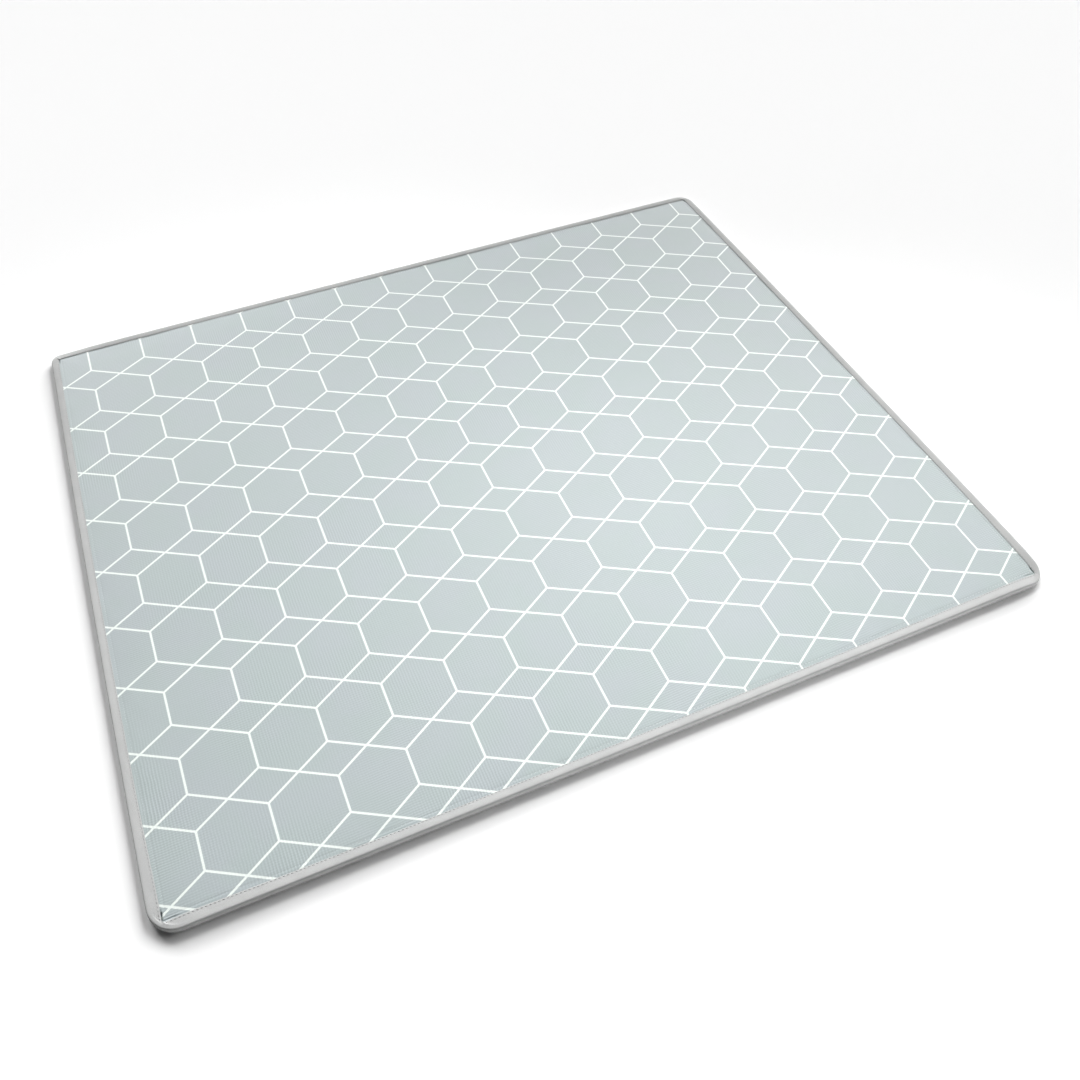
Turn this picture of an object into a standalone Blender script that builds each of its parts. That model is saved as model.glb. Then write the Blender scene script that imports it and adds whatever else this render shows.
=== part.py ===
"""Padded baby play mat: a printed pad with a folded tape sewn round its whole rim.

The mat lies on Z = 0 with the middle of its underside at the origin. X runs along its
long sides and Y from the front side to the back. All sizes are in metres.

Every shape here follows one family of outlines. The outline at an inset u is the mat's
rectangle drawn in by u on each side, with an arc in each corner. A height then depends
on u, so that the pad and the tape round it share the same steps and keep an even gap.
"""

import math

import bmesh
import bpy
import numpy as np

# Outline of the finished mat, over the tape
MAT_LENGTH = 1.200
MAT_WIDTH = 1.000
SIDE_BOW = 0.0018
BACK_LEFT_RADIUS = 0.016
BACK_RIGHT_RADIUS = 0.024
FRONT_RIGHT_RADIUS = 0.030
FRONT_LEFT_RADIUS = 0.034

# Folded tape round the rim
TAPE_THICKNESS = 0.0012
TAPE_REACH = 0.0115
TAPE_HEIGHT = 0.0120
NOSE_DEPTH = 0.0050
NOSE_POWER = 2.5
SEAM_DIP = 0.0009
SEAM_CORNER_RADIUS = 0.0040
SEAM_CORNER_TIGHTER = 0.0160

# Pleat where the tape turns each corner, as a rise over the corner's angle from the short side
PLEAT_RISE = 0.0009
PLEAT_EDGE = math.radians(45.0)
PLEAT_TOP = math.radians(54.0)
PLEAT_END = math.radians(90.0)

# Filled pad
CLEARANCE = 0.0003
SHOULDER_RISE = 0.0026
SHOULDER_REACH = 0.0080
CROWN_RISE = 0.0024
CROWN_POWER = 2.6
UNDERSIDE_STEP_START = 0.0010
UNDERSIDE_STEP_END = 0.0060
FIELD_INSET = 0.0800

# Steps of the meshes
LONG_SIDE_STEPS = 14
SHORT_SIDE_STEPS = 12
CORNER_STEPS = 10
NOSE_STEPS = 8
TAPE_TOP_STEPS = 3
UNDERSIDE_STEPS = 3
SHOULDER_STEPS = (5.0, 3.0, 2.0, 1.2, 0.6, 0.25, 0.0)
MERGE_DISTANCE = 1e-6
SHARP_ANGLE = math.radians(55.0)

HALF_LENGTH = MAT_LENGTH / 2 - SIDE_BOW
HALF_WIDTH = MAT_WIDTH / 2 - SIDE_BOW
MID_HEIGHT = TAPE_HEIGHT / 2
PAD_OFFSET = TAPE_THICKNESS + CLEARANCE

# Corners in order round the mat: signs of X and Y, radius, and the angle at which the arc starts
CORNERS = (
    (1, 1, BACK_RIGHT_RADIUS, 0.0),
    (-1, 1, BACK_LEFT_RADIUS, 90.0),
    (-1, -1, FRONT_LEFT_RADIUS, 180.0),
    (1, -1, FRONT_RIGHT_RADIUS, 270.0),
)

COVER_COLOUR = (0.556, 0.624, 0.610, 1.0)
TAPE_COLOUR = (0.520, 0.527, 0.524, 1.0)


def clear_scene():
    for thing in list(bpy.data.objects):
        bpy.data.objects.remove(thing, do_unlink=True)


def plain_material(name, colour, roughness):
    material = bpy.data.materials.new(name)
    material.use_nodes = True
    shader = material.node_tree.nodes["Principled BSDF"]
    shader.inputs["Base Color"].default_value = colour
    shader.inputs["Roughness"].default_value = roughness
    shader.inputs["Metallic"].default_value = 0.0
    return material


def corner_radius(outer_radius, inset):
    """Arc radius at an inset: parallel to the outside round the nose, then tighter to the seam."""
    nose_radius = outer_radius - min(inset, NOSE_DEPTH)
    seam_radius = max(SEAM_CORNER_RADIUS, outer_radius - SEAM_CORNER_TIGHTER)
    share = min(max((inset - NOSE_DEPTH) / (TAPE_REACH - NOSE_DEPTH), 0.0), 1.0)
    return nose_radius + share * (seam_radius - nose_radius)


def outline(inset, square_corners=False):
    """Closed outline at an inset: an arc at each corner, then even steps along the next side."""
    half_x = HALF_LENGTH - inset
    half_y = HALF_WIDTH - inset
    radii = [0.0 if square_corners else corner_radius(corner[2], inset) for corner in CORNERS]
    points = []
    for index, (sign_x, sign_y, _, start) in enumerate(CORNERS):
        radius = radii[index]
        centre = np.array([sign_x * (half_x - radius), sign_y * (half_y - radius)])
        angles = np.radians(start + np.linspace(0.0, 90.0, CORNER_STEPS + 1))
        arc = centre + radius * np.column_stack([np.cos(angles), np.sin(angles)])
        points.extend(arc)
        following = (index + 1) % len(CORNERS)
        next_x, next_y, _, next_start = CORNERS[following]
        next_radius = radii[following]
        next_centre = np.array([next_x * (half_x - next_radius), next_y * (half_y - next_radius)])
        turn = math.radians(next_start)
        side_end = next_centre + next_radius * np.array([math.cos(turn), math.sin(turn)])
        steps = LONG_SIDE_STEPS if sign_y == next_y else SHORT_SIDE_STEPS
        share = np.arange(1, steps)[:, None] / steps
        points.extend(arc[-1] + share * (side_end - arc[-1]))
    return np.array(points)


def pleat_shares():
    """How much of the corner pleat each outline point carries, from 0 to 1."""
    angle = np.linspace(0.0, math.pi / 2, CORNER_STEPS + 1)
    rise = np.interp(angle, [PLEAT_EDGE, PLEAT_TOP, PLEAT_END], [0.0, 1.0, 0.0])
    shares = []
    for index, (_, sign_y, _, _) in enumerate(CORNERS):
        next_sign_y = CORNERS[(index + 1) % len(CORNERS)][1]
        turns_to_long_side = sign_y == next_sign_y
        shares.extend(rise if turns_to_long_side else rise[::-1])
        steps = LONG_SIDE_STEPS if turns_to_long_side else SHORT_SIDE_STEPS
        shares.extend([0.0] * (steps - 1))
    return np.array(shares)


def bow_sides(points):
    """Push the middle of each side out by the bow, fading to nothing at the corners."""
    x = points[:, 0] / HALF_LENGTH
    y = points[:, 1] / HALF_WIDTH
    bowed = points.copy()
    bowed[:, 0] += SIDE_BOW * x * (1.0 - y**2)
    bowed[:, 1] += SIDE_BOW * y * (1.0 - x**2)
    return bowed


def fold_profile(depth_inside):
    """Round nose of the folded edge, top to bottom, as (inset, height) pairs of a superellipse."""
    angle = np.linspace(math.pi / 2, -math.pi / 2, NOSE_STEPS + 1)
    nose = NOSE_DEPTH - depth_inside
    half = MID_HEIGHT - depth_inside
    power = 2.0 / NOSE_POWER
    inset = NOSE_DEPTH - nose * np.abs(np.cos(angle)) ** power
    height = MID_HEIGHT + half * np.sign(np.sin(angle)) * np.abs(np.sin(angle)) ** power
    return np.column_stack([inset, height])


def seam_dip(inset):
    """How far the stitching draws the tape down between its crest and its inner edge."""
    share = np.clip((inset - NOSE_DEPTH) / (TAPE_REACH - NOSE_DEPTH), 0.0, 1.0)
    return SEAM_DIP * share**2


def pad_top(inset):
    """Height of the pad's top: under the tape it follows the fold, then it swells to a shoulder."""
    under_tape = TAPE_HEIGHT - PAD_OFFSET - seam_dip(inset)
    swell = 1.0 - np.exp(-np.maximum(inset - TAPE_REACH, 0.0) / SHOULDER_REACH)
    return under_tape + SHOULDER_RISE * swell


def pad_bottom(inset):
    """Height of the pad's underside: clear of the tape at the rim, then down to the floor."""
    span = UNDERSIDE_STEP_END - UNDERSIDE_STEP_START
    share = np.clip((inset - TAPE_REACH - UNDERSIDE_STEP_START) / span, 0.0, 1.0)
    return PAD_OFFSET * (1.0 - share * share * (3.0 - 2.0 * share))


def crown(points):
    """Low crown of the filling: full in the middle and nothing at the seam."""
    x = np.clip(np.abs(points[:, 0]) / (HALF_LENGTH - TAPE_REACH), 0.0, 1.0)
    y = np.clip(np.abs(points[:, 1]) / (HALF_WIDTH - TAPE_REACH), 0.0, 1.0)
    return CROWN_RISE * (1.0 - x**CROWN_POWER) * (1.0 - y**CROWN_POWER)


def join_loops(first, second, count):
    """Quads between two loops of the same number of points, given the loops' first indices."""
    here = np.arange(count)
    after = (here + 1) % count
    return np.column_stack([first + here, first + after, second + after, second + here])


def make_object(name, points, faces, material):
    """One closed, outward-facing mesh object; points that fall together are merged."""
    mesh = bpy.data.meshes.new(name)
    mesh.from_pydata(points.tolist(), [], faces)
    body = bmesh.new()
    body.from_mesh(mesh)
    bmesh.ops.remove_doubles(body, verts=body.verts[:], dist=MERGE_DISTANCE)
    bmesh.ops.recalc_face_normals(body, faces=body.faces[:])
    body.to_mesh(mesh)
    body.free()
    mesh.shade_smooth()
    mesh.set_sharp_from_angle(angle=SHARP_ANGLE)
    mesh.materials.append(material)
    made = bpy.data.objects.new(name, mesh)
    bpy.context.scene.collection.objects.link(made)
    return made


def build_binding(material):
    """The folded tape: a C-shaped section, open towards the pad, carried round the outline."""
    flap = np.linspace(TAPE_REACH, NOSE_DEPTH, TAPE_TOP_STEPS + 1)[:-1]
    outer_nose = fold_profile(0.0)
    inner_nose = fold_profile(TAPE_THICKNESS)
    outer_top = np.column_stack([flap, TAPE_HEIGHT - seam_dip(flap)])
    outer_bottom = np.column_stack([flap[::-1], np.zeros(len(flap))])
    inner_bottom = np.column_stack([flap, np.full(len(flap), TAPE_THICKNESS)])
    inner_top = np.column_stack([flap, TAPE_HEIGHT - TAPE_THICKNESS - seam_dip(flap)])[::-1]
    section = np.vstack([outer_top, outer_nose, outer_bottom, inner_bottom, inner_nose[::-1], inner_top])
    on_top = np.arange(len(section)) < len(outer_top)
    pleat = pleat_shares()
    loops = []
    for (inset, height), raised in zip(section, on_top):
        flat = bow_sides(outline(inset))
        share = (inset - NOSE_DEPTH) / (TAPE_REACH - NOSE_DEPTH)
        lift = PLEAT_RISE * share * pleat if raised else np.zeros(len(pleat))
        loops.append(np.column_stack([flat, height + lift]))
    count = len(pleat)
    faces = []
    for index in range(len(loops)):
        following = (index + 1) % len(loops)
        faces.extend(join_loops(index * count, following * count, count).tolist())
    return make_object("edge_binding", np.vstack(loops), faces, material)


def field_grid(first_index):
    """Middle of a face as a plain grid, which meets the last square-cornered loop point by point."""
    x = np.linspace(-1.0, 1.0, LONG_SIDE_STEPS + 1) * (HALF_LENGTH - FIELD_INSET)
    y = np.linspace(-1.0, 1.0, SHORT_SIDE_STEPS + 1) * (HALF_WIDTH - FIELD_INSET)
    grid_x, grid_y = np.meshgrid(x, y)
    flat = bow_sides(np.column_stack([grid_x.ravel(), grid_y.ravel()]))
    row = len(x)
    corner = np.arange(len(y) - 1)[:, None] * row + np.arange(row - 1)[None, :]
    corner = corner.ravel() + first_index
    quads = np.column_stack([corner, corner + 1, corner + row + 1, corner + row])
    return flat, quads.tolist()


def build_pad(material):
    """The filled pad: loops from the top's middle field out round the rim and back underneath."""
    swell = TAPE_REACH + SHOULDER_REACH * np.array(SHOULDER_STEPS)
    under_tape = [(TAPE_REACH + NOSE_DEPTH) / 2]
    top_insets = np.concatenate([[FIELD_INSET], swell, under_tape])
    step = np.linspace(UNDERSIDE_STEP_START, UNDERSIDE_STEP_END, UNDERSIDE_STEPS + 1)
    bottom_insets = np.concatenate([TAPE_REACH + step, [FIELD_INSET]])
    loops = []
    for inset in top_insets:
        flat = bow_sides(outline(inset, square_corners=inset == FIELD_INSET))
        loops.append(np.column_stack([flat, pad_top(inset) + crown(flat)]))
    for inset, height in fold_profile(PAD_OFFSET):
        flat = bow_sides(outline(inset))
        loops.append(np.column_stack([flat, np.full(len(flat), height)]))
    for inset in bottom_insets:
        flat = bow_sides(outline(inset, square_corners=inset == FIELD_INSET))
        loops.append(np.column_stack([flat, np.full(len(flat), pad_bottom(inset))]))
    count = len(loops[0])
    faces = []
    for index in range(len(loops) - 1):
        faces.extend(join_loops(index * count, (index + 1) * count, count).tolist())
    points = np.vstack(loops)
    for on_top in (True, False):
        flat, quads = field_grid(len(points))
        height = pad_top(FIELD_INSET) + crown(flat) if on_top else np.zeros(len(flat))
        points = np.vstack([points, np.column_stack([flat, height])])
        faces.extend(quads)
    return make_object("mat_pad", points, faces, material)


clear_scene()
build_pad(plain_material("printed_cover", COVER_COLOUR, 0.85))
build_binding(plain_material("binding_tape", TAPE_COLOUR, 0.80))
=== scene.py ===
"""Looks of a padded baby play mat: a printed, ribbed cover over a soft filling, with a folded tape
sewn round its rim, one row of thread along the tape's inner edge and one just inside it on the
cover. Sizes are in metres. The mat lies on Z = 0, X runs along its long sides and Y from the front
side to the back.
"""

import math

import bpy
import numpy as np
from mathutils import Matrix


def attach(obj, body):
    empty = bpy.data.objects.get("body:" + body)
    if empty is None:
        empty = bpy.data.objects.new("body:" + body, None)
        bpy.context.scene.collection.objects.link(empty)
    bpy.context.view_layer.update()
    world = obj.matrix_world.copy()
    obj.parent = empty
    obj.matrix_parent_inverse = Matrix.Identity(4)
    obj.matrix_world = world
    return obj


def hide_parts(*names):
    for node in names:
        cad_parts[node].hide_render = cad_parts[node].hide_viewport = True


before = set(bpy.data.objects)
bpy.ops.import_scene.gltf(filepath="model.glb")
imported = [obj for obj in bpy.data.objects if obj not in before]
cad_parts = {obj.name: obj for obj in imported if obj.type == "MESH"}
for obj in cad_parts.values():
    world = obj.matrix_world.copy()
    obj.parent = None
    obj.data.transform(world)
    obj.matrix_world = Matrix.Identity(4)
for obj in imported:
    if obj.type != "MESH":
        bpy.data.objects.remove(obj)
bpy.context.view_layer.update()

# Outline of the mat, as the solids have it
HALF_LENGTH = 0.5982
HALF_WIDTH = 0.4982
SIDE_BOW = 0.0018
CORNER_SIGNS = np.array([(1, 1), (-1, 1), (-1, -1), (1, -1)])
CORNER_RADII = np.array([0.024, 0.016, 0.034, 0.030])
SEAM_RADIUS = 0.0040
CORNER_DRAW = np.array([0.0010, 0.0006, 0.0046, 0.0036])
DRAW_LENGTH = 0.100
CORNER_SLIT = np.array([0.5, 0.4, 1.0, 1.0])
CORNER_PINCH = np.array([0.08, 0.08, 0.12, 0.38])

# Folded tape
TAPE_REACH = 0.0115
TAPE_HEIGHT = 0.0120
NOSE_DEPTH = 0.0050
NOSE_POWER = 3.0
UNDER_DEPTH = 0.0040
UNDER_POWER = 3.2
NOSE_OUT = 0.0006
EDGE_DEPTH = 0.0026
MID_HEIGHT = 0.0060
SEAM_DIP = 0.0009
TAPE_THICKNESS = 0.0010
TAPE_LAID_LENGTH = 4.36

# Padded cover
PAD_OFFSET = 0.0015
SEAM_RISE = 0.00040
SHOULDER_RISE = 0.0007
SHOULDER_REACH = 0.0250
CROWN_RISE = 0.0026
CROWN_POWER = 2.6

# Thread
TOPSTITCH_INSET = 0.0158
EDGE_STITCH_INSET = 0.0106
STITCH_PITCH = 0.0047
STITCH_START = 0.0003
STITCH_LENGTH = 0.0030
THREAD_PROUD = 0.00020
THREAD_ARCH = 0.00045
TOPSTITCH_RADIUS = 0.00024
EDGE_STITCH_RADIUS = 0.00026

# Creases, pleats, pinches and puckers
CREASE_AT = 0.0140
CREASE_DEPTH = 0.00014
CREASE_WIDTH = 0.0008
TAPE_PUCKER = 0.00010
PRESSED_THIN = 0.70
PLEAT_LIFT = 0.0008
TUCK_DEPTH = 0.0006
PINCH_REACH = 0.034
SLIT_DEPTH = 0.0030
LEAN_DROP = 0.0016
STITCH_DITCH = 0.00012
SEAM_GROOVE = 0.00008
SEAM_PUCKER = 0.00022
UNEVEN_RISE = 0.00030
THREAD_SINK = 0.00030
RIM_BULGE = 0.0033
RIM_POWER = 0.8
GRID_STEP = 0.009
NOSE_ROW = 20

# Lay of the print, in hexagon sides: factors of 1, u, v, u * v, u * u and v * v
PRINT_ACROSS = np.array([11.9436, 12.4969, -0.0473, -0.1641, 0.1142, -0.0181])
PRINT_ALONG = np.array([8.3047, 0.2048, -10.2764, -0.1089, 0.1191, 0.2039])

# Print and weave, in hexagon sides
LINE_INNER = 0.0225
LINE_OUTER = 0.0345
RIBS_ACROSS = 13.3
RIBS_ALONG = 15.6
TAPE_RIB = 0.0011

# Colours
CLOTH_GREEN = (0.377, 0.434, 0.432, 1.0)
CLOTH_BLUE = (0.386, 0.430, 0.444, 1.0)
CLOTH_PALE = (0.391, 0.438, 0.443, 1.0)
PRINT_WHITE = (0.765, 0.817, 0.783, 1.0)
BACK_DARK = (0.50, 0.56, 0.55, 1.0)
BACK_LIGHT = (0.54, 0.585, 0.578, 1.0)
TAPE_DARK = (0.402, 0.407, 0.405, 1.0)
TAPE_LIGHT = (0.428, 0.432, 0.428, 1.0)
PALE_THREAD = (0.68, 0.72, 0.71, 1.0)
# Thread of the edge stitch: a real row of stitches, painted dark grey to stand in for the shade in its
# needle holes and in the seam groove
PAINTED_SHADE_THREAD = (0.28, 0.29, 0.29, 1.0)
FLOOR_WHITE = (0.985, 0.985, 0.985, 1.0)


def waves(x, y, lengths, seed):
    """Soft unevenness: the mean of sine waves of the given lengths, each in its own direction."""
    dice = np.random.default_rng(seed)
    total = np.zeros_like(x)
    for length in lengths:
        turn, phase = dice.uniform(0.0, 2.0 * math.pi, 2)
        along = x * math.cos(turn) + y * math.sin(turn)
        total += np.sin(2.0 * math.pi * along / length + phase)
    return total / len(lengths)


def smooth_step(low, high, value):
    """Rise from 0 to 1 between low and high, as the cubic 3t squared minus 2t cubed."""
    share = np.clip((value - low) / (high - low), 0.0, 1.0)
    return share * share * (3.0 - 2.0 * share)


def bell(value, middle, width):
    """A bell curve: exp of minus the square of the distance from the middle, in widths."""
    return np.exp(-(((value - middle) / width) ** 2))


def corner_radius(outer, inset):
    """Arc radius at an inset: parallel to the outside round the nose, then tighter to the seam."""
    nose = outer - np.minimum(inset, NOSE_DEPTH)
    share = np.clip((inset - NOSE_DEPTH) / (TAPE_REACH - NOSE_DEPTH), 0.0, 1.0)
    return nose + share * (SEAM_RADIUS - nose)


def bow_sides(x, y):
    """Push the middle of each side out: x grows by bow * x * (1 - y squared), y likewise."""
    across = x / HALF_LENGTH
    along = y / HALF_WIDTH
    return (
        x + SIDE_BOW * across * (1.0 - along**2),
        y + SIDE_BOW * along * (1.0 - across**2),
    )


def seam_draw(amount, way):
    """How far a corner draws the seam in, at a way along the side: a long exponential less a short
    one, so the draw is greatest a few centimetres from the corner."""
    return amount * (np.exp(-way / DRAW_LENGTH) - 0.55 * np.exp(-way / 0.020))


def rim_stations(arc_steps, side_step):
    """Stations round the rim: each lies on an arc, or between the ends of two arcs."""
    first, second, share, turn = [], [], [], []
    for corner in range(4):
        following = (corner + 1) % 4
        start = 90.0 * corner
        angles = np.linspace(start, start + 90.0, arc_steps + 1)
        span = 2 * (HALF_LENGTH if corner % 2 == 0 else HALF_WIDTH)
        steps = int(round(span / side_step))
        between = np.arange(1, steps) / steps
        first.append(np.full(arc_steps + steps, corner))
        here = np.full(arc_steps + 1, corner)
        second.append(np.concatenate([here, np.full(steps - 1, following)]))
        share.append(np.concatenate([np.zeros(arc_steps + 1), between]))
        turn.append(np.concatenate([angles, np.full(steps - 1, start + 90.0)]))
    return (
        np.concatenate(first),
        np.concatenate(second),
        np.concatenate(share),
        np.radians(np.concatenate(turn)),
    )


def rim_points(stations, inset):
    """Points of the outline at each inset: the centre of a corner's arc plus its radius along the
    arc's angle, and on a side the straight mix of the two arc ends. Rows are insets. Towards the
    seam each corner draws the outline further in."""
    first, second, share, turn = stations
    inset = np.asarray(inset, float)[:, None]
    side = np.where(first % 2 == 0, 2 * HALF_LENGTH, 2 * HALF_WIDTH) - 0.04
    draw = seam_draw(CORNER_DRAW[first], share * side)
    far_draw = seam_draw(CORNER_DRAW[second], (1.0 - share) * side)
    draw = draw + np.where(first == second, 0.0, far_draw)
    flap_share = np.clip((inset - NOSE_DEPTH) / (TAPE_REACH - NOSE_DEPTH), 0.0, 1.0)
    drawn = inset + draw[None, :] * flap_share**2

    def on_arc(corner):
        """Points on the arc of one corner: its centre plus the radius times cosine and sine."""
        radius = corner_radius(CORNER_RADII[corner][None, :], inset)
        x = CORNER_SIGNS[corner, 0] * (HALF_LENGTH - drawn - radius) + radius * np.cos(turn)
        y = CORNER_SIGNS[corner, 1] * (HALF_WIDTH - drawn - radius) + radius * np.sin(turn)
        return x, y

    x_first, y_first = on_arc(first)
    x_second, y_second = on_arc(second)
    x = x_first + share * (x_second - x_first)
    y = y_first + share * (y_second - y_first)
    return bow_sides(x, y)


def quarter_of(x, y):
    """Which corner each point is nearest to, counted round from the back right."""
    return np.where(y >= 0, np.where(x >= 0, 0, 1), np.where(x >= 0, 3, 2))


def corner_pinch(x, y):
    """Share of the height left where a corner is pinched flat: one less a bell curve of the distance
    from the corner."""
    away = np.hypot(HALF_LENGTH - np.abs(x), HALF_WIDTH - np.abs(y))
    return 1.0 - CORNER_PINCH[quarter_of(x, y)] * bell(away, 0.0, PINCH_REACH)


def inset_at(x, y):
    """Distance inside the outline: the seam's reach plus the depth inside a rectangle with
    rounded corners, less what the nearest corner draws the seam in."""
    over_x = np.abs(x) - (HALF_LENGTH - TAPE_REACH - SEAM_RADIUS)
    over_y = np.abs(y) - (HALF_WIDTH - TAPE_REACH - SEAM_RADIUS)
    outside = np.hypot(np.maximum(over_x, 0.0), np.maximum(over_y, 0.0))
    inside = np.minimum(np.maximum(over_x, over_y), 0.0)
    way = np.maximum(HALF_LENGTH - np.abs(x), HALF_WIDTH - np.abs(y)) - 0.018
    draw = seam_draw(CORNER_DRAW[quarter_of(x, y)], np.maximum(way, 0.0))
    return TAPE_REACH + SEAM_RADIUS - outside - inside - draw


def corner_slit(x, y, inset):
    """The gap at the end of each short side's seam, where the long side's tape laps over it: a
    bell curve across the seam, over the last centimetre before the corner."""
    quarter = quarter_of(x, y)
    across = HALF_LENGTH - np.abs(x)
    along = HALF_WIDTH - np.abs(y) - TAPE_REACH - 0.5 * CORNER_DRAW[quarter]
    on_side = smooth_step(0.0, 0.003, along) * (1.0 - smooth_step(0.008, 0.013, along))
    near = bell(inset, TAPE_REACH + 0.0004, 0.0010) * (across < 0.03)
    return CORNER_SLIT[quarter] * on_side * near


def rim_lean(x, y, inset):
    """How far the rim leans down outwards along the back half of the left side: a bell curve of y,
    straight from the seam to the outline."""
    along = bell(y, 0.42, 0.28) * smooth_step(0.50, 0.58, -x)
    return LEAN_DROP * along * (1.0 - np.clip(inset / TAPE_REACH, 0.0, 1.0))


def cover_top(x, y):
    """Height of the cover: low under the tape, a shoulder that rises as one minus an exponential,
    a low crown of powers of x and y, shallow bell-shaped ditches along the thread and the seam, and
    soft unevenness, less the rim's lean, times the corner's pinch, less the slit."""
    inset = inset_at(x, y)
    share = np.clip((inset - NOSE_DEPTH) / (TAPE_REACH - NOSE_DEPTH), 0.0, 1.0)
    height = TAPE_HEIGHT - PAD_OFFSET + SEAM_RISE * share**2
    past_seam = np.maximum(inset - TAPE_REACH, 0.0)
    height = height + SHOULDER_RISE * (1.0 - np.exp(-past_seam / SHOULDER_REACH))
    across = np.clip(np.abs(x) / (HALF_LENGTH - TAPE_REACH), 0.0, 1.0)
    along = np.clip(np.abs(y) / (HALF_WIDTH - TAPE_REACH), 0.0, 1.0)
    height = height + CROWN_RISE * (1.0 - across**CROWN_POWER) * (1.0 - along**CROWN_POWER)
    height = height - STITCH_DITCH * bell(inset, TOPSTITCH_INSET, 0.0012)
    height = height - SEAM_GROOVE * bell(inset, TAPE_REACH + 0.0003, 0.0005)
    near_seam = np.exp(-((inset - TAPE_REACH) / 0.030)) * (inset > TAPE_REACH)
    height = height + SEAM_PUCKER * near_seam * waves(x, y, (0.031, 0.043, 0.057, 0.074), 3)
    height = height + UNEVEN_RISE * waves(x, y, (0.21, 0.33, 0.47), 5)
    height = height - rim_lean(x, y, inset)
    return height * corner_pinch(x, y) - SLIT_DEPTH * corner_slit(x, y, inset)


def cover_bottom(inset):
    """Height of the underside: over the tape at the rim, then a smooth step down to the floor."""
    return PAD_OFFSET * (1.0 - smooth_step(TAPE_REACH + 0.0010, TAPE_REACH + 0.0060, inset))


def print_lay(x, y):
    """Where the cloth's print lies, in hexagon sides: two polynomials of second degree in x and y,
    because the cloth was sewn in slightly turned and pulled."""
    u = x / 0.6
    v = y / 0.5
    terms = np.stack([np.ones_like(u), u, v, u * v, u * u, v * v], axis=-1)
    return np.stack([terms @ PRINT_ACROSS, terms @ PRINT_ALONG], axis=-1)


def grid_faces(rows, columns, wrap_rows=False, wrap_columns=False):
    """Quads of a grid of rows by columns, whose rows or columns can close on themselves."""
    row = np.arange(rows if wrap_rows else rows - 1)
    column = np.arange(columns if wrap_columns else columns - 1)
    row, column = [part.ravel() for part in np.meshgrid(row, column, indexing="ij")]
    next_row = (row + 1) % rows
    next_column = (column + 1) % columns
    return np.stack(
        [
            row * columns + column,
            row * columns + next_column,
            next_row * columns + next_column,
            next_row * columns + column,
        ],
        axis=-1,
    )


def add_object(name, data):
    """A new object at the origin with the given mesh, light or camera, linked to the scene."""
    made = bpy.data.objects.new(name, data)
    bpy.context.scene.collection.objects.link(made)
    return made


def make_mesh(name, points, faces, materials, lay=None, lay_name=None, face_material=None, sharp=None):
    """A smooth mesh object from arrays of points and faces, with one lay of the cloth as its UV."""
    mesh = bpy.data.meshes.new(name)
    mesh.from_pydata(points.tolist(), [], faces.tolist())
    for material in materials:
        mesh.materials.append(material)
    if face_material is not None:
        mesh.polygons.foreach_set("material_index", face_material.astype(np.int32))
    if lay is not None:
        layer = mesh.uv_layers.new(name=lay_name)
        layer.data.foreach_set("uv", lay.astype(np.float32).ravel())
    mesh.shade_smooth()
    if sharp is not None:
        mesh.set_sharp_from_angle(angle=math.radians(sharp))
    mesh.validate()
    return add_object(name, mesh)


def graded(half, inset):
    """Grid lines from side to side: close together near both seams and wide apart in the middle."""
    near = np.concatenate(
        [
            np.linspace(0.0, 0.004, 3)[:-1],
            np.linspace(0.004, 0.020, 21)[:-1],
            np.linspace(0.020, 0.048, 9),
        ]
    )
    edge = half - inset - near
    inner = edge[-1]
    middle = np.linspace(-inner, inner, int(round(2 * inner / GRID_STEP)) + 1)
    return np.concatenate([-edge[:-1], middle, edge[:-1][::-1]])


def round_corners(x, y, inset):
    """Draw a square grid's corners in to arcs: in each corner cell of side r, with a and b from 0
    to 1, x becomes r * a * root(1 - b squared / 2) and y becomes r * b * root(1 - a squared / 2)."""
    radius = corner_radius(CORNER_RADII[quarter_of(x, y)], inset)
    start_x = HALF_LENGTH - inset - radius
    start_y = HALF_WIDTH - inset - radius
    a = np.clip((np.abs(x) - start_x) / radius, 0.0, 1.0)
    b = np.clip((np.abs(y) - start_y) / radius, 0.0, 1.0)
    in_corner = (a > 0) & (b > 0)
    corner_x = np.sign(x) * (start_x + radius * a * np.sqrt(1.0 - b * b / 2.0))
    corner_y = np.sign(y) * (start_y + radius * b * np.sqrt(1.0 - a * a / 2.0))
    return np.where(in_corner, corner_x, x), np.where(in_corner, corner_y, y)


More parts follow.
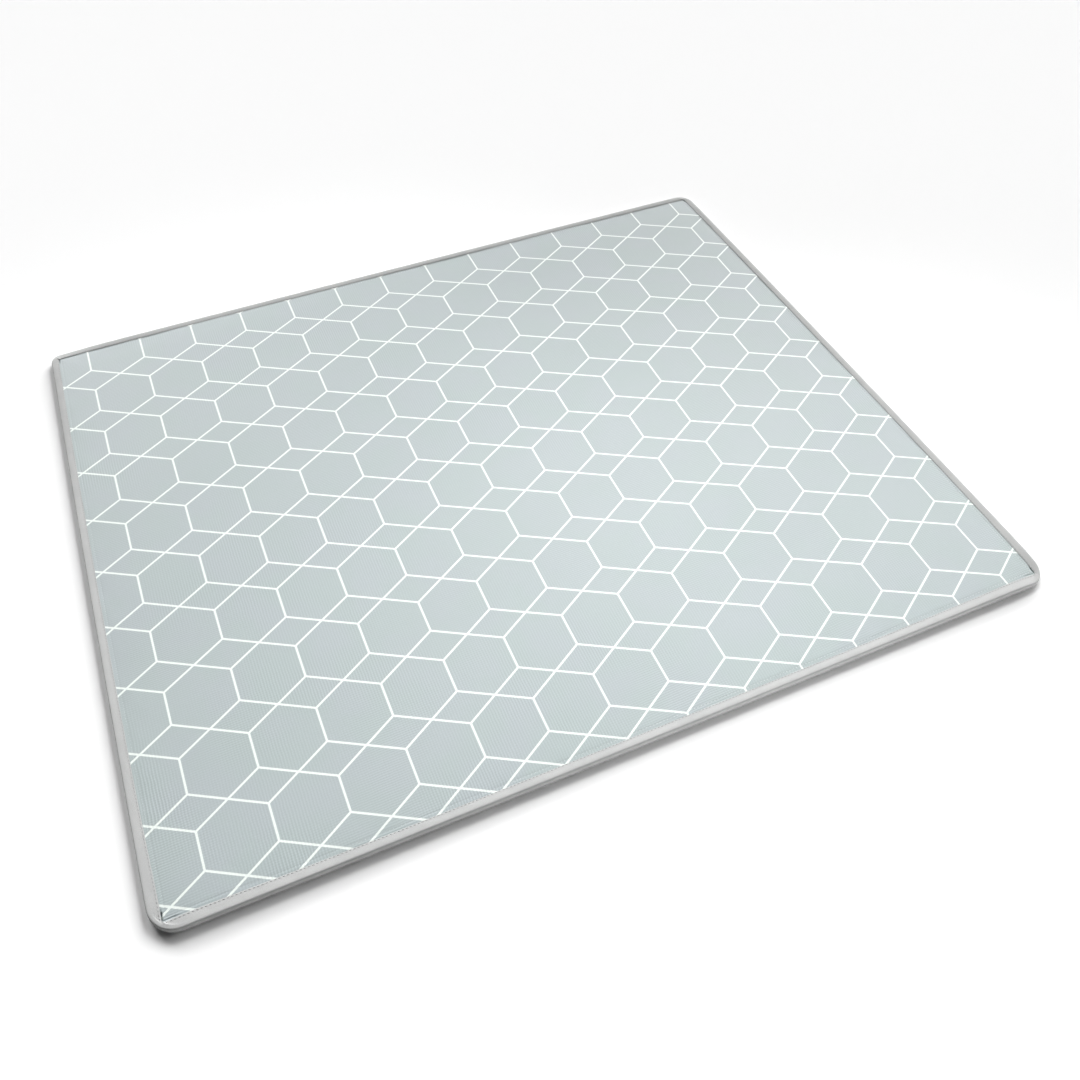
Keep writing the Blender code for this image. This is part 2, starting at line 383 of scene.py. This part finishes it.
def build_cover(materials):
    """The padded cover: a top grid and a bottom grid whose heights are functions of x and y, joined
    by a round rim that is a superellipse from the top's edge to the bottom's."""
    rim_inset = NOSE_DEPTH
    x_lines = graded(HALF_LENGTH, rim_inset)
    y_lines = graded(HALF_WIDTH, rim_inset)
    grid_x, grid_y = np.meshgrid(x_lines, y_lines)
    grid_x, grid_y = round_corners(grid_x, grid_y, rim_inset)
    rows, columns = grid_x.shape
    inset = inset_at(grid_x, grid_y)
    x, y = bow_sides(grid_x, grid_y)
    top = np.stack([x, y, cover_top(grid_x, grid_y)], axis=-1).reshape(-1, 3)
    bottom = np.stack([x, y, cover_bottom(inset)], axis=-1).reshape(-1, 3)
    index = np.arange(rows * columns).reshape(rows, columns)
    border = np.concatenate([index[0, :-1], index[:-1, -1], index[-1, :0:-1], index[:0:-1, 0]])
    top_faces = grid_faces(rows, columns)
    bottom_faces = grid_faces(rows, columns)[:, ::-1] + len(top)
    edge = top[border]
    low = bottom[border]
    normal_x = edge[:, 0] - np.clip(edge[:, 0], -0.56, 0.56)
    normal_y = edge[:, 1] - np.clip(edge[:, 1], -0.46, 0.46)
    normal = np.stack([normal_x, normal_y], axis=-1)
    normal /= np.linalg.norm(normal, axis=1)[:, None]
    angle = np.linspace(math.pi / 2, -math.pi / 2, 9)[1:-1]
    half = (edge[:, 2] - low[:, 2]) / 2
    middle = (edge[:, 2] + low[:, 2]) / 2
    out = RIM_BULGE * np.cos(angle)[:, None] ** RIM_POWER
    up = (np.sign(np.sin(angle)) * np.abs(np.sin(angle)) ** RIM_POWER)[:, None]
    rim = np.stack(
        [
            edge[None, :, 0] + out * normal[None, :, 0],
            edge[None, :, 1] + out * normal[None, :, 1],
            middle[None, :] + half[None, :] * up,
        ],
        axis=-1,
    )
    count = len(border)
    between = 2 * len(top) + np.arange(len(angle) * count).reshape(len(angle), count)
    rings = np.vstack([border, between, border + len(top)])
    here = rings[:-1]
    below = rings[1:]
    corners = (here, below, np.roll(below, -1, axis=1), np.roll(here, -1, axis=1))
    rim_faces = np.stack([corner.ravel() for corner in corners], axis=-1)
    points = np.vstack([top, bottom, rim.reshape(-1, 3)])
    faces = np.vstack([top_faces, bottom_faces, rim_faces])
    lay = print_lay(points[faces, 0], points[faces, 1])
    plain = np.ones(len(bottom_faces) + len(rim_faces))
    face_material = np.concatenate([np.zeros(len(top_faces)), plain])
    return make_mesh("padded_cover", points, faces, materials, lay, "print_lay", face_material)


def tape_section():
    """The tape's outer face from the top seam round the nose to the bottom seam, as insets and
    heights: a top band that rises outwards, a nose of two half superellipses, the upper one shallow
    and the lower one deep, and a flat underside."""
    flap = np.linspace(TAPE_REACH, EDGE_DEPTH, 11)[:-1]
    share = (flap - EDGE_DEPTH) / (TAPE_REACH - EDGE_DEPTH)
    low_flap = np.linspace(UNDER_DEPTH, TAPE_REACH, 9)[1:]
    angle = np.linspace(math.pi / 2, -math.pi / 2, 33)
    upper = angle > 0.0
    power = np.where(upper, 2.0 / NOSE_POWER, 2.0 / UNDER_POWER)
    depth = np.where(upper, EDGE_DEPTH, UNDER_DEPTH)
    tall = np.where(upper, TAPE_HEIGHT - MID_HEIGHT, -MID_HEIGHT)
    nose_inset = depth - (depth + NOSE_OUT) * np.abs(np.cos(angle)) ** power
    nose_height = MID_HEIGHT + tall * np.abs(np.sin(angle)) ** power
    inset = np.concatenate([flap, nose_inset, low_flap])
    height = np.concatenate([TAPE_HEIGHT - SEAM_DIP * share**2, nose_height, np.zeros(len(low_flap))])
    return inset, height


def build_tape(material):
    """The folded tape: its section carried round the outline, with a crease and fine puckers along
    the nose, a tuck and a lapped pleat at each corner, the left rim's lean and the corners' pinch.
    The inner face is the outer one moved in along its normal by the tape's thickness, which the
    seam presses thin."""
    stations = rim_stations(26, 0.006)
    inset, height = tape_section()
    step = np.hypot(np.gradient(inset), np.gradient(height))
    normal_in = np.stack([-np.gradient(height) / step, np.gradient(inset) / step], axis=-1)
    length = np.concatenate([[0.0], np.cumsum(np.hypot(np.diff(inset), np.diff(height)))])
    x, y = rim_points(stations, inset)
    nose_x = x[NOSE_ROW]
    nose_y = y[NOSE_ROW]
    run = np.concatenate([[0.0], np.cumsum(np.hypot(np.diff(nose_x), np.diff(nose_y)))])
    around = run / (run[-1] + np.hypot(nose_x[0] - nose_x[-1], nose_y[0] - nose_y[-1]))
    wobble = np.zeros_like(around)
    for cycles, phase in ((5, 0.4), (11, 2.1), (23, 4.0), (41, 1.2)):
        wobble += np.sin(2 * math.pi * cycles * around + phase) / 4
    crease_at = CREASE_AT + 0.0005 * wobble
    in_by = CREASE_DEPTH * bell(length[:, None], crease_at[None, :], CREASE_WIDTH)
    fine = np.zeros_like(around)
    for cycles, phase in ((67, 0.9), (101, 3.3), (151, 5.0)):
        fine += np.sin(2 * math.pi * cycles * around + phase) / 3
    top_share = np.clip((length - 0.001) / 0.004, 0, 1)
    outer_share = top_share * np.clip((length[-1] - length - 0.008) / 0.004, 0, 1)
    in_by = in_by + TAPE_PUCKER * (1.0 + fine[None, :]) * outer_share[:, None]
    first, second, _, turn = stations
    on_arc = first == second
    right_angle = math.pi / 2
    in_turn = turn - first * right_angle
    from_short = np.where(first % 2 == 0, in_turn, right_angle - in_turn)
    degrees = np.degrees(from_short)
    rise = smooth_step(46.0, 50.0, degrees) * (1.0 - smooth_step(56.0, 90.0, degrees)) * on_arc
    tuck = bell(degrees, 44.0, 4.0) * on_arc
    seam_share = np.clip((inset - 0.0030) / (TAPE_REACH - 0.0030), 0.0, 1.0) * (height > MID_HEIGHT)
    lift = PLEAT_LIFT * seam_share[:, None] * rise[None, :]
    lift = lift - TUCK_DEPTH * (seam_share[:, None] ** 2) * tuck[None, :]
    outer_inset = inset[:, None] + in_by * normal_in[:, 0][:, None]
    outer_height = height[:, None] + in_by * normal_in[:, 1][:, None] + lift
    pressed = np.clip((inset - EDGE_DEPTH) / (TAPE_REACH - EDGE_DEPTH), 0.0, 1.0)
    pressed = pressed * (height > MID_HEIGHT)
    thick = TAPE_THICKNESS * (1.0 - PRESSED_THIN * pressed**2)
    inner_inset = np.repeat((inset + thick * normal_in[:, 0])[:, None], lift.shape[1], axis=1)
    inner_height = height[:, None] + (thick * normal_in[:, 1])[:, None] + lift
    all_inset = np.concatenate([outer_inset, inner_inset[::-1]])
    all_height = np.concatenate([outer_height, inner_height[::-1]])
    small = 0.0002
    further_x, further_y = rim_points(stations, inset + small)
    outer_then_inner = np.concatenate([np.arange(len(inset)), np.arange(len(inset))[::-1]])
    shift = all_inset - inset[outer_then_inner][:, None]
    all_x = x[outer_then_inner] + shift * ((further_x - x) / small)[outer_then_inner]
    all_y = y[outer_then_inner] + shift * ((further_y - y) / small)[outer_then_inner]
    leaning = np.clip(all_height / TAPE_HEIGHT, 0.0, 1.0)
    all_height = all_height - rim_lean(all_x, all_y, all_inset) * leaning
    points = np.stack([all_x, all_y, all_height * corner_pinch(all_x, all_y)], axis=-1)
    rows, columns = all_height.shape
    faces = grid_faces(rows, columns, wrap_rows=True, wrap_columns=True)
    across = np.concatenate([length, length[-1] + TAPE_THICKNESS + length])
    across = np.append(across, across[-1] + TAPE_THICKNESS)
    along = np.append(around, 1.0) * TAPE_LAID_LENGTH
    grid = np.meshgrid(np.arange(rows), np.arange(columns), indexing="ij")
    row, column = [part.ravel() for part in grid]
    corners = ((column, row), (column + 1, row), (column + 1, row + 1), (column, row + 1))
    lay = np.stack([np.stack([along[a], across[b]], axis=-1) for a, b in corners], axis=1)
    return make_mesh("folded_tape", points.reshape(-1, 3), faces, [material], lay, "tape_lay", sharp=60)


def tape_top(x, y):
    """Height of the tape's top band."""
    inset = inset_at(x, y)
    share = np.clip((inset - EDGE_DEPTH) / (TAPE_REACH - EDGE_DEPTH), 0.0, 1.0)
    return (TAPE_HEIGHT - SEAM_DIP * share**2 - rim_lean(x, y, inset)) * corner_pinch(x, y)


def thread_bed(x, y):
    """Where the topstitch lies: on the cover at the right, pulled into it towards the left."""
    return cover_top(x, y) - THREAD_SINK * (1.0 - smooth_step(-0.25, 0.15, x))


def build_stitches(name, material, inset, surface, thick):
    """A row of thread: equal stitches along the outline at an inset, each a thin arched thread
    whose radius is the root of one minus the fourth power of its share from the middle."""
    stations = rim_stations(24, 0.004)
    x, y = rim_points(stations, [inset])
    x = np.append(x[0], x[0, 0])
    y = np.append(y[0], y[0, 0])
    run = np.concatenate([[0.0], np.cumsum(np.hypot(np.diff(x), np.diff(y)))])
    count = int(round(run[-1] / STITCH_PITCH))
    pitch = run[-1] / count
    ends = np.arange(count)[:, None] * pitch + np.array([[STITCH_START, STITCH_START + STITCH_LENGTH]])
    start = np.stack([np.interp(ends[:, 0], run, x), np.interp(ends[:, 0], run, y)], axis=-1)
    end = np.stack([np.interp(ends[:, 1], run, x), np.interp(ends[:, 1], run, y)], axis=-1)
    share = np.array([0.04, 0.2, 0.5, 0.8, 0.96])
    sides = 6
    spots = len(share)
    each = sides * spots + 2
    radius = thick * np.sqrt(1.0 - (2 * share - 1) ** 4)
    middle = start[:, None, :] + share[None, :, None] * (end - start)[:, None, :]
    side = np.stack([-(end - start)[:, 1], (end - start)[:, 0]], axis=-1)
    side /= np.linalg.norm(side, axis=1)[:, None]
    arch = THREAD_PROUD - THREAD_ARCH * (2 * share - 1) ** 2
    base = surface(middle[..., 0], middle[..., 1]) + arch[None, :]
    angle = np.arange(sides) * 2.0 * math.pi / sides
    wide = radius[None, :, None] * np.cos(angle)[None, None, :]
    tall = 0.8 * radius[None, :, None] * np.sin(angle)[None, None, :]
    ring_x = middle[:, :, None, 0] + wide * side[:, None, None, 0]
    ring_y = middle[:, :, None, 1] + wide * side[:, None, None, 1]
    ring_z = base[:, :, None] + tall
    rings = np.stack([ring_x, ring_y, ring_z], axis=-1).reshape(count, sides * spots, 3)
    tips = ((start, base[:, :1]), (end, base[:, -1:]))
    poles = np.stack([np.append(tip, low - 0.00008, axis=1) for tip, low in tips], axis=1)
    points = np.concatenate([rings, poles], axis=1)
    tube = grid_faces(spots, sides, wrap_columns=True)
    around = np.arange(sides)
    after = (around + 1) % sides
    last = sides * (spots - 1)
    first_of = each * np.arange(count)[:, None, None]
    quads = (tube[None] + first_of).reshape(-1, 4)
    start_cap = np.stack([np.full(sides, each - 2), after, around], axis=-1)
    end_cap = np.stack([np.full(sides, each - 1), last + around, last + after], axis=-1)
    caps = (np.concatenate([start_cap, end_cap])[None] + first_of).reshape(-1, 3)
    mesh = bpy.data.meshes.new(name)
    faces = quads[:, ::-1].tolist() + caps[:, ::-1].tolist()
    mesh.from_pydata(points.reshape(-1, 3).tolist(), [], faces)
    mesh.materials.append(material)
    mesh.shade_smooth()
    return add_object(name, mesh)


class Nodes:
    """Short ways to add shader nodes to one material."""

    def __init__(self, name):
        self.material = bpy.data.materials.new(name)
        self.material.use_nodes = True
        self.tree = self.material.node_tree
        self.shader = self.tree.nodes["Principled BSDF"]

    def link(self, value, socket):
        """Link a socket to the input, or set a plain number or colour on it."""
        if isinstance(value, bpy.types.NodeSocket):
            self.tree.links.new(value, socket)
        else:
            socket.default_value = value

    def math(self, operation, first, second=0.0):
        """One sum, product or other operation on two values."""
        node = self.tree.nodes.new("ShaderNodeMath")
        node.operation = operation
        for socket, value in zip(node.inputs, (first, second)):
            self.link(value, socket)
        return node.outputs[0]

    def ramp(self, value, low, high, to_low=0.0, to_high=1.0, smooth=True):
        """Map the span from low to high to another span, smoothly or straight."""
        node = self.tree.nodes.new("ShaderNodeMapRange")
        node.interpolation_type = "SMOOTHSTEP" if smooth else "LINEAR"
        names = ("Value", "From Min", "From Max", "To Min", "To Max")
        for name, given in zip(names, (value, low, high, to_low, to_high)):
            self.link(given, node.inputs[name])
        return node.outputs[0]

    def mix(self, share, first, second, blend="MIX"):
        """Blend two colours by a share."""
        node = self.tree.nodes.new("ShaderNodeMix")
        node.data_type = "RGBA"
        node.blend_type = blend
        self.link(share, node.inputs[0])
        self.link(first, node.inputs[6])
        self.link(second, node.inputs[7])
        return node.outputs[2]

    def shaded(self, colour, shade):
        """A colour times a grey of the given strength."""
        grey = self.tree.nodes.new("ShaderNodeCombineColor")
        for socket in grey.inputs:
            self.link(shade, socket)
        return self.mix(1.0, colour, grey.outputs[0], "MULTIPLY")

    def noise(self, vector, scale, detail=2.0):
        """Soft noise from 0 to 1."""
        node = self.tree.nodes.new("ShaderNodeTexNoise")
        self.link(vector, node.inputs["Vector"])
        node.inputs["Scale"].default_value = scale
        node.inputs["Detail"].default_value = detail
        return node.outputs["Fac"]

    def lay(self, name):
        """A cloth's own lay, as a vector and as its two parts."""
        node = self.tree.nodes.new("ShaderNodeUVMap")
        node.uv_map = name
        split = self.tree.nodes.new("ShaderNodeSeparateXYZ")
        self.tree.links.new(node.outputs[0], split.inputs[0])
        return node.outputs[0], split.outputs[0], split.outputs[1]

    def place(self):
        """The place on the object, in metres."""
        return self.tree.nodes.new("ShaderNodeTexCoord").outputs["Object"]

    def bump(self, height, distance, strength):
        """Fine relief from a height between 0 and 1 times a distance."""
        node = self.tree.nodes.new("ShaderNodeBump")
        node.inputs["Strength"].default_value = strength
        node.inputs["Distance"].default_value = distance
        self.tree.links.new(height, node.inputs["Height"])
        self.tree.links.new(node.outputs[0], self.shader.inputs["Normal"])

    def finish(self, colour, roughness, sheen=0.0, specular=0.3):
        """Set the cloth's colour, roughness and sheen, and return the material."""
        self.link(colour, self.shader.inputs["Base Color"])
        self.link(roughness, self.shader.inputs["Roughness"])
        self.shader.inputs["Specular IOR Level"].default_value = specular
        self.shader.inputs["Sheen Weight"].default_value = sheen
        self.shader.inputs["Sheen Roughness"].default_value = 0.5
        return self.material


def printed_cloth():
    """Ribbed cloth with a white line print. In hexagon sides the lines run from each crossing at 30
    degrees to the forks, and from fork to fork straight across, so folding x at half root 3 and y
    at 1 leaves one slanted line and one upright line to measure from."""
    n = Nodes("printed_cover")
    lay, across, along = n.lay("print_lay")
    place = n.place()
    half_column = math.sqrt(3.0) / 2.0
    a = n.math("PINGPONG", across, half_column)
    b = n.math("PINGPONG", along, 1.0)
    slope = n.math("SUBTRACT", n.math("MULTIPLY", b, half_column), n.math("MULTIPLY", a, 0.5))
    slant = n.math("MAXIMUM", n.math("ABSOLUTE", slope), n.math("SUBTRACT", b, 0.505))
    upright = n.math("MAXIMUM", n.math("SUBTRACT", half_column, a), n.math("SUBTRACT", 0.495, b))
    apart = n.math("MINIMUM", slant, upright)
    fuzz = n.math("MULTIPLY", n.math("SUBTRACT", n.noise(lay, 22.0, 2.0), 0.5), 0.010)
    line = n.ramp(n.math("ADD", apart, fuzz), LINE_INNER, LINE_OUTER, 1.0, 0.0)
    patch = n.noise(place, 16.0, 3.0)
    drift = n.math("MULTIPLY", n.noise(place, 70.0, 2.0), 3.2)
    rib = n.math("SINE", n.math("ADD", n.math("MULTIPLY", across, 2 * math.pi * RIBS_ACROSS), drift))
    cross = n.math("SINE", n.math("ADD", n.math("MULTIPLY", along, 2 * math.pi * RIBS_ALONG), drift))
    loose = n.ramp(n.noise(place, 9.0, 1.0), 0.35, 0.65, 0.5, 1.0)
    lean = n.ramp(n.noise(place, 4.0, 1.0), 0.42, 0.58, 0.25, 0.85)
    rib = n.math("MULTIPLY", rib, n.math("SUBTRACT", 1.0, lean))
    cross = n.math("MULTIPLY", cross, lean)
    weave = n.math("MULTIPLY", n.math("ADD", rib, cross), loose)
    broad = n.noise(place, 3.5, 2.0)
    speck = n.noise(place, 900.0, 2.0)
    ground = n.mix(n.ramp(patch, 0.35, 0.65), CLOTH_GREEN, CLOTH_BLUE)
    ground = n.mix(n.ramp(broad, 0.3, 0.7, 0.0, 0.5), ground, CLOTH_PALE)
    shade = n.ramp(weave, -1.0, 1.0, 0.90, 1.07, smooth=False)
    shade = n.math("MULTIPLY", shade, n.ramp(speck, 0.3, 0.7, 0.965, 1.03, smooth=False))
    shade = n.math("MULTIPLY", shade, n.ramp(line, 0.0, 1.0, 1.0, 0.3))
    shade = n.math("ADD", shade, n.math("MULTIPLY", line, 0.7))
    colour = n.mix(line, ground, PRINT_WHITE)
    colour = n.shaded(colour, shade)
    relief = n.math("ADD", n.math("MULTIPLY", weave, 0.5), n.math("MULTIPLY", speck, 0.5))
    n.bump(relief, 0.00018, 0.6)
    roughness = n.ramp(line, 0.0, 1.0, 0.63, 0.57)
    return n.finish(colour, roughness, sheen=0.05, specular=0.4)


def plain_cloth():
    """Plain pale backing cloth of the underside."""
    n = Nodes("underside_cloth")
    place = n.place()
    colour = n.mix(n.noise(place, 14.0, 3.0), BACK_DARK, BACK_LIGHT)
    n.bump(n.noise(place, 700.0, 2.0), 0.0002, 0.5)
    return n.finish(colour, 0.85)


def tape_cloth():
    """Fine-ribbed tape: ribs across its width, fine grain and small changes of tone."""
    n = Nodes("binding_tape")
    _, along, _ = n.lay("tape_lay")
    place = n.place()
    rib = n.math("SINE", n.math("MULTIPLY", along, 2 * math.pi / TAPE_RIB))
    grain = n.noise(place, 1100.0, 2.0)
    patch = n.noise(place, 40.0, 3.0)
    colour = n.mix(n.ramp(patch, 0.3, 0.7), TAPE_DARK, TAPE_LIGHT)
    shade = n.ramp(grain, 0.3, 0.7, 0.94, 1.05, smooth=False)
    colour = n.shaded(colour, shade)
    n.bump(n.math("ADD", n.math("MULTIPLY", rib, 0.3), grain), 0.00012, 0.6)
    return n.finish(colour, 0.72, sheen=0.08)


def thread_fibre(name, colour):
    """Sewing thread with a fine twist."""
    n = Nodes(name)
    place = n.place()
    n.bump(n.noise(place, 2500.0, 1.0), 0.00005, 0.5)
    return n.finish(colour, 0.6, sheen=0.1)


def build_floor():
    """Plain white floor, well beyond the view."""
    mesh = bpy.data.meshes.new("studio_floor")
    mesh.from_pydata([(-6, -6, 0), (6, -6, 0), (6, 6, 0), (-6, 6, 0)], [], [(0, 1, 2, 3)])
    mesh.materials.append(Nodes("studio_floor").finish(FLOOR_WHITE, 1.0, specular=0.0))
    return add_object("studio_floor", mesh)


def aim(made, away, reference, place=(0.0, 0.0, 0.0)):
    """Place a light and turn it: its own Z points away from what it lights, and its X is square to
    that and to the reference."""
    away = np.array(away, float)
    away /= np.linalg.norm(away)
    side = np.cross(reference, away)
    side /= np.linalg.norm(side)
    up = np.cross(away, side)
    rows = [[side[i], up[i], away[i], place[i]] for i in range(3)]
    made.matrix_world = Matrix(rows + [[0, 0, 0, 1]])


def soft_sun(name, toward, width, strength):
    """A far light that comes from the given direction, as wide as the angle in degrees."""
    light = bpy.data.lights.new(name, "SUN")
    light.angle = math.radians(width)
    light.energy = strength
    made = add_object(name, light)
    aim(made, toward, (0.0, 1.0, 0.1))
    return made


def soft_box(name, place, target, size, spread, energy):
    """A square soft box with a grid, which keeps its light within the spread's angle in degrees."""
    light = bpy.data.lights.new(name, "AREA")
    light.size = size
    light.spread = math.radians(spread)
    light.energy = energy
    made = add_object(name, light)
    aim(made, np.subtract(place, target), (0.0, 0.0, 1.0), place)
    return made


def build_studio():
    """White surroundings, three wide soft lights from the right and the back, two soft boxes at the
    back that are aimed at the mat's front and left, and a low one that lights its front rim and
    doesn't show in reflections."""
    scene = bpy.context.scene
    world = bpy.data.worlds.new("studio")
    world.use_nodes = True
    background = world.node_tree.nodes["Background"]
    background.inputs[0].default_value = (1.0, 1.0, 1.0, 1.0)
    background.inputs[1].default_value = 0.006
    scene.world = world
    soft_sun("right_light", (1.0, 0.35, 0.55), 60.0, 2.03)
    soft_sun("low_back_light", (-0.2, 1.0, 0.30), 30.0, 3.55)
    soft_sun("low_corner_light", (1.0, 1.0, 0.45), 40.0, 3.65)
    soft_box("back_box", (0.5, 0.7, 1.5), (0.30, -0.85, 0.0), 0.5, 60.0, 2.3)
    soft_box("middle_box", (0.6, 0.9, 1.4), (-0.55, -0.30, 0.0), 0.5, 60.0, 1.75)
    low_box = soft_box("low_front_box", (1.2, -2.2, 0.16), (0.1, -0.5, 0.006), 0.25, 45.0, 2.0)
    low_box.visible_glossy = False
    scene.view_settings.view_transform = "Standard"
    scene.view_settings.look = "None"


def build_camera():
    """The camera of the photograph: above the front left, looking down across the mat."""
    camera = bpy.data.cameras.new("view")
    camera.sensor_fit = "HORIZONTAL"
    camera.sensor_width = 36.0
    camera.lens = 31.1485
    camera.shift_x = 0.02635
    camera.clip_start = 0.01
    made = add_object("view", camera)
    made.location = (-0.34698, -0.89748, 1.03749)
    made.rotation_euler = [math.radians(angle) for angle in (37.9504, 0.4564, -22.7499)]
    bpy.context.scene.camera = made


cover = build_cover([printed_cloth(), plain_cloth()])
tape = build_tape(tape_cloth())
pale_thread = thread_fibre("pale_thread", PALE_THREAD)
topstitch = build_stitches("topstitch", pale_thread, TOPSTITCH_INSET, thread_bed, TOPSTITCH_RADIUS)
# The edge stitch's thread is painted dark as painted shade of its needle holes and the seam groove it
# lies in
painted_shade_thread = thread_fibre("painted_shade_thread", PAINTED_SHADE_THREAD)
edge_stitch = build_stitches(
    "edge_stitch", painted_shade_thread, EDGE_STITCH_INSET, tape_top, EDGE_STITCH_RADIUS
)

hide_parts("mat_pad")
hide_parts("edge_binding")
for piece in (cover, tape, topstitch, edge_stitch):
    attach(piece, "root")

floor = build_floor()
build_studio()
build_camera()
